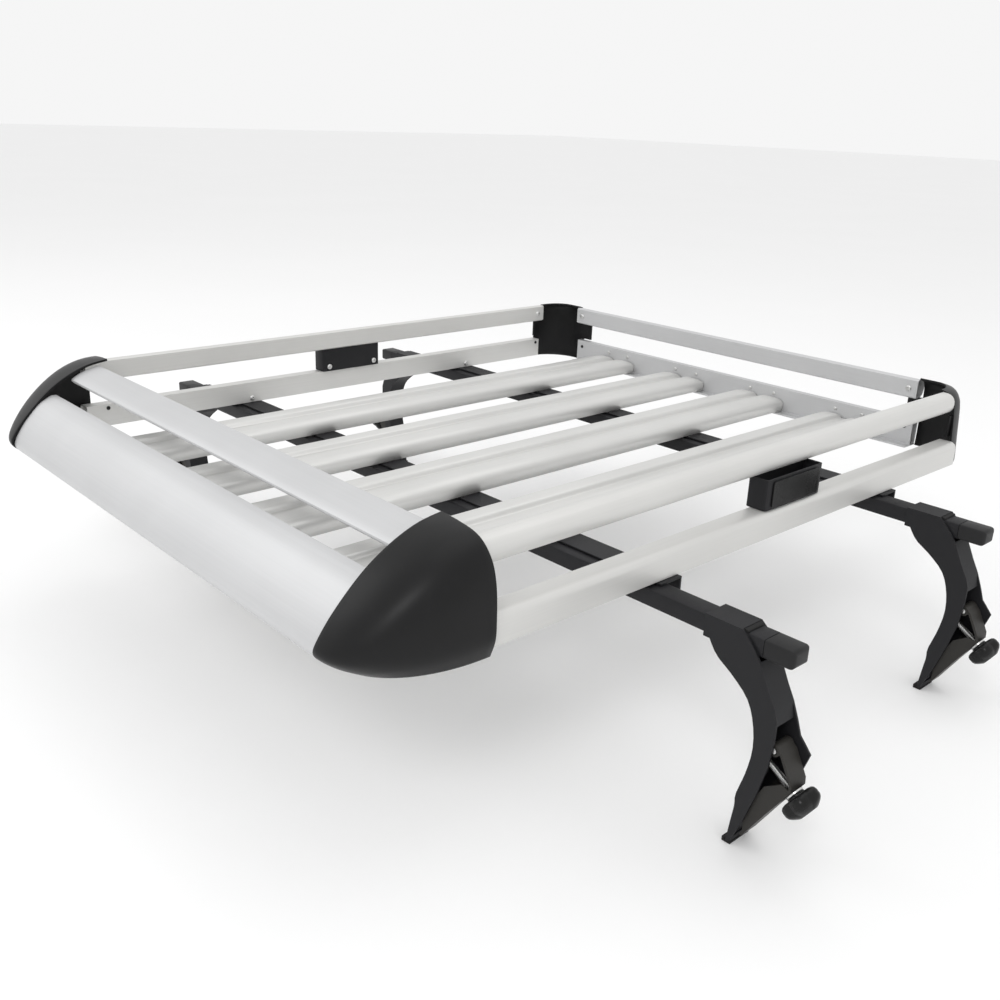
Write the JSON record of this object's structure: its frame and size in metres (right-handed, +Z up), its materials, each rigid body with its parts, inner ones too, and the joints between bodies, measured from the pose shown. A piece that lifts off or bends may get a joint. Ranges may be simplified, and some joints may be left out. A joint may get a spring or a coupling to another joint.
{
  "type": "roof cargo basket",
  "caption": "Slatted aluminium roof cargo basket with a wind deflector, on two crossbars held by clamping gutter feet.",
  "frame": {"origin": "on the plane through the four foot pads, in the middle of the part's width and length", "axes": "+X to the basket's right-hand side, +Y to its rear, +Z up"},
  "size_m": [1.36, 1.1124, 0.3545],
  "materials": {
    "anodised_aluminium": "satin anodised",
    "cap_plastic": "satin moulded",
    "powder_coat": "fine-textured powder coat",
    "plain_plastic": "smooth moulded",
    "zinc_steel": "bright zinc plate",
    "rubber": "matt"
  },
  "bodies": {
    "basket": {"wind_deflector": "anodised_aluminium", "front_upper_rail": "anodised_aluminium", "front_cross_rail": "anodised_aluminium", "rear_upper_rail": "anodised_aluminium", "rear_lower_rail": "anodised_aluminium", "right_upper_rail": "anodised_aluminium", "right_lower_rail": "anodised_aluminium", "left_upper_rail": "anodised_aluminium", "left_lower_rail": "anodised_aluminium", "floor_slat_1": "anodised_aluminium", "floor_slat_2": "anodised_aluminium", "floor_slat_3": "anodised_aluminium", "floor_slat_4": "anodised_aluminium", "front_right_cap": "cap_plastic", "front_left_cap": "cap_plastic", "rear_right_cap": "cap_plastic", "rear_left_cap": "cap_plastic", "right_upright": "powder_coat", "left_upright": "powder_coat", "front_crossbar": "powder_coat", "rear_crossbar": "powder_coat", "front_brace": "powder_coat", "rear_brace": "powder_coat", "right_upright_plate": "plain_plastic", "left_upright_plate": "plain_plastic", "front_right_bar_end": "plain_plastic", "front_left_bar_end": "plain_plastic", "rear_right_bar_end": "plain_plastic", "rear_left_bar_end": "plain_plastic"},
    "foot_front_right": {"front_right_leg": "powder_coat", "front_right_pad": "rubber", "front_right_stud": "zinc_steel", "front_right_jaw_pin": "zinc_steel"},
    "jaw_front_right": {"front_right_jaw": "powder_coat"},
    "washer_front_right": {"front_right_washer": "zinc_steel"},
    "knob_front_right": {"front_right_knob": "plain_plastic"},
    "foot_front_left": {"front_left_leg": "powder_coat", "front_left_pad": "rubber", "front_left_stud": "zinc_steel", "front_left_jaw_pin": "zinc_steel"},
    "jaw_front_left": {"front_left_jaw": "powder_coat"},
    "washer_front_left": {"front_left_washer": "zinc_steel"},
    "knob_front_left": {"front_left_knob": "plain_plastic"},
    "foot_rear_right": {"rear_right_leg": "powder_coat", "rear_right_pad": "rubber", "rear_right_stud": "zinc_steel", "rear_right_jaw_pin": "zinc_steel"},
    "jaw_rear_right": {"rear_right_jaw": "powder_coat"},
    "washer_rear_right": {"rear_right_washer": "zinc_steel"},
    "knob_rear_right": {"rear_right_knob": "plain_plastic"},
    "foot_rear_left": {"rear_left_leg": "powder_coat", "rear_left_pad": "rubber", "rear_left_stud": "zinc_steel", "rear_left_jaw_pin": "zinc_steel"},
    "jaw_rear_left": {"rear_left_jaw": "powder_coat"},
    "washer_rear_left": {"rear_left_washer": "zinc_steel"},
    "knob_rear_left": {"rear_left_knob": "plain_plastic"}
  },
  "joints": [
    {"name": "front_right_foot_slide", "type": "slide", "parent": "basket", "child": "foot_front_right", "axis": [1, 0, 0], "range_m": [-0.04, 0.03]},
    {"name": "front_right_washer_travel", "type": "slide", "parent": "foot_front_right", "child": "washer_front_right", "axis": [0.848, 0, -0.5299], "range_m": [0, 0.0051]},
    {"name": "front_right_knob_turn", "type": "hinge", "parent": "washer_front_right", "child": "knob_front_right", "pos_m": [0.6645, -0.179, 0.0795], "axis": [0.848, 0, -0.5299], "range_deg": [0, 1440]},
    {"name": "front_right_jaw_swing", "type": "hinge", "parent": "foot_front_right", "child": "jaw_front_right", "pos_m": [0.6335, -0.179, 0.1285], "axis": [0, -1, 0], "range_deg": [0, 7.7]},
    {"name": "front_left_foot_slide", "type": "slide", "parent": "basket", "child": "foot_front_left", "axis": [-1, 0, 0], "range_m": [-0.04, 0.03]},
    {"name": "front_left_washer_travel", "type": "slide", "parent": "foot_front_left", "child": "washer_front_left", "axis": [-0.848, 0, -0.5299], "range_m": [0, 0.0051]},
    {"name": "front_left_knob_turn", "type": "hinge", "parent": "washer_front_left", "child": "knob_front_left", "pos_m": [-0.6375, -0.179, 0.0795], "axis": [-0.848, 0, -0.5299], "range_deg": [0, 1440]},
    {"name": "front_left_jaw_swing", "type": "hinge", "parent": "foot_front_left", "child": "jaw_front_left", "pos_m": [-0.6065, -0.179, 0.1285], "axis": [0, 1, 0], "range_deg": [0, 7.7]},
    {"name": "rear_right_foot_slide", "type": "slide", "parent": "basket", "child": "foot_rear_right", "axis": [1, 0, 0], "range_m": [-0.04, 0.03]},
    {"name": "rear_right_washer_travel", "type": "slide", "parent": "foot_rear_right", "child": "washer_rear_right", "axis": [0.848, 0, -0.5299], "range_m": [0, 0.0051]},
    {"name": "rear_right_knob_turn", "type": "hinge", "parent": "washer_rear_right", "child": "knob_rear_right", "pos_m": [0.6375, 0.28, 0.0795], "axis": [0.848, 0, -0.5299], "range_deg": [0, 1440]},
    {"name": "rear_right_jaw_swing", "type": "hinge", "parent": "foot_rear_right", "child": "jaw_rear_right", "pos_m": [0.6065, 0.28, 0.1285], "axis": [0, -1, 0], "range_deg": [0, 7.7]},
    {"name": "rear_left_foot_slide", "type": "slide", "parent": "basket", "child": "foot_rear_left", "axis": [-1, 0, 0], "range_m": [-0.04, 0.03]},
    {"name": "rear_left_washer_travel", "type": "slide", "parent": "foot_rear_left", "child": "washer_rear_left", "axis": [-0.848, 0, -0.5299], "range_m": [0, 0.0051]},
    {"name": "rear_left_knob_turn", "type": "hinge", "parent": "washer_rear_left", "child": "knob_rear_left", "pos_m": [-0.6645, 0.28, 0.0795], "axis": [-0.848, 0, -0.5299], "range_deg": [0, 1440]},
    {"name": "rear_left_jaw_swing", "type": "hinge", "parent": "foot_rear_left", "child": "jaw_rear_left", "pos_m": [-0.6335, 0.28, 0.1285], "axis": [0, 1, 0], "range_deg": [0, 7.7]}
  ],
  "couplings": [
    {"joint": "front_right_washer_travel", "follows": "front_right_knob_turn", "m_per_rad": 0.00019894},
    {"joint": "front_right_jaw_swing", "follows": "front_right_knob_turn", "ratio": 0.0052},
    {"joint": "front_left_washer_travel", "follows": "front_left_knob_turn", "m_per_rad": 0.00019894},
    {"joint": "front_left_jaw_swing", "follows": "front_left_knob_turn", "ratio": 0.0052},
    {"joint": "rear_right_washer_travel", "follows": "rear_right_knob_turn", "m_per_rad": 0.00019894},
    {"joint": "rear_right_jaw_swing", "follows": "rear_right_knob_turn", "ratio": 0.0052},
    {"joint": "rear_left_washer_travel", "follows": "rear_left_knob_turn", "m_per_rad": 0.00019894},
    {"joint": "rear_left_jaw_swing", "follows": "rear_left_knob_turn", "ratio": 0.0052}
  ]
}
